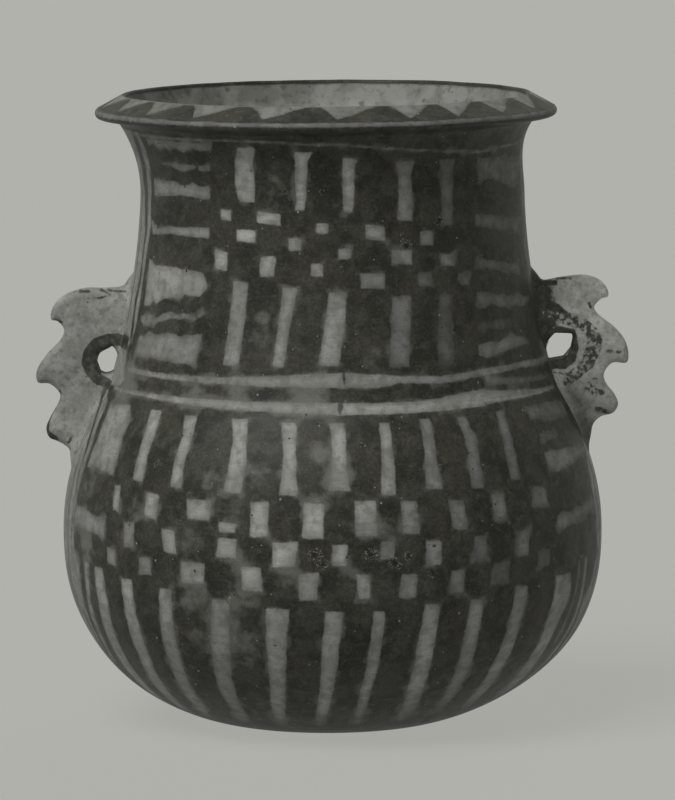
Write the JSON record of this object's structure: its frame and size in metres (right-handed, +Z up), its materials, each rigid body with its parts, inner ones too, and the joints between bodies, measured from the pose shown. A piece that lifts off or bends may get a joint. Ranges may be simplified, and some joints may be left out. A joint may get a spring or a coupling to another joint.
{
  "type": "lugged earthenware jar",
  "caption": "Hand-built painted earthenware jar with a round belly, a wide waisted neck, an everted rim and pierced notched lugs; holds water, drink or dry food.",
  "frame": {"origin": "on the belly's axis, at the flat resting face of the base", "axes": "+Z up along the jar, +X from the left lug to the right lug as seen from the front, +Y from the painted front to the back"},
  "size_m": [0.2664, 0.2424, 0.2844],
  "materials": {
    "painted_clay": "burnished dark slip with paler painted bars and squares, worn and speckled",
    "rim_clay": "burnished pale slip with dark painted points, worn along the lip",
    "lug_clay": "pale slip, slightly rough, with a dark band round the cord hole"
  },
  "bodies": {
    "root": {"base": "painted_clay", "lower_wall": "painted_clay", "shoulder": "painted_clay", "neck": "painted_clay", "rim": "rim_clay", "lug_left": "lug_clay", "lug_right": "lug_clay"}
  },
  "joints": []
}
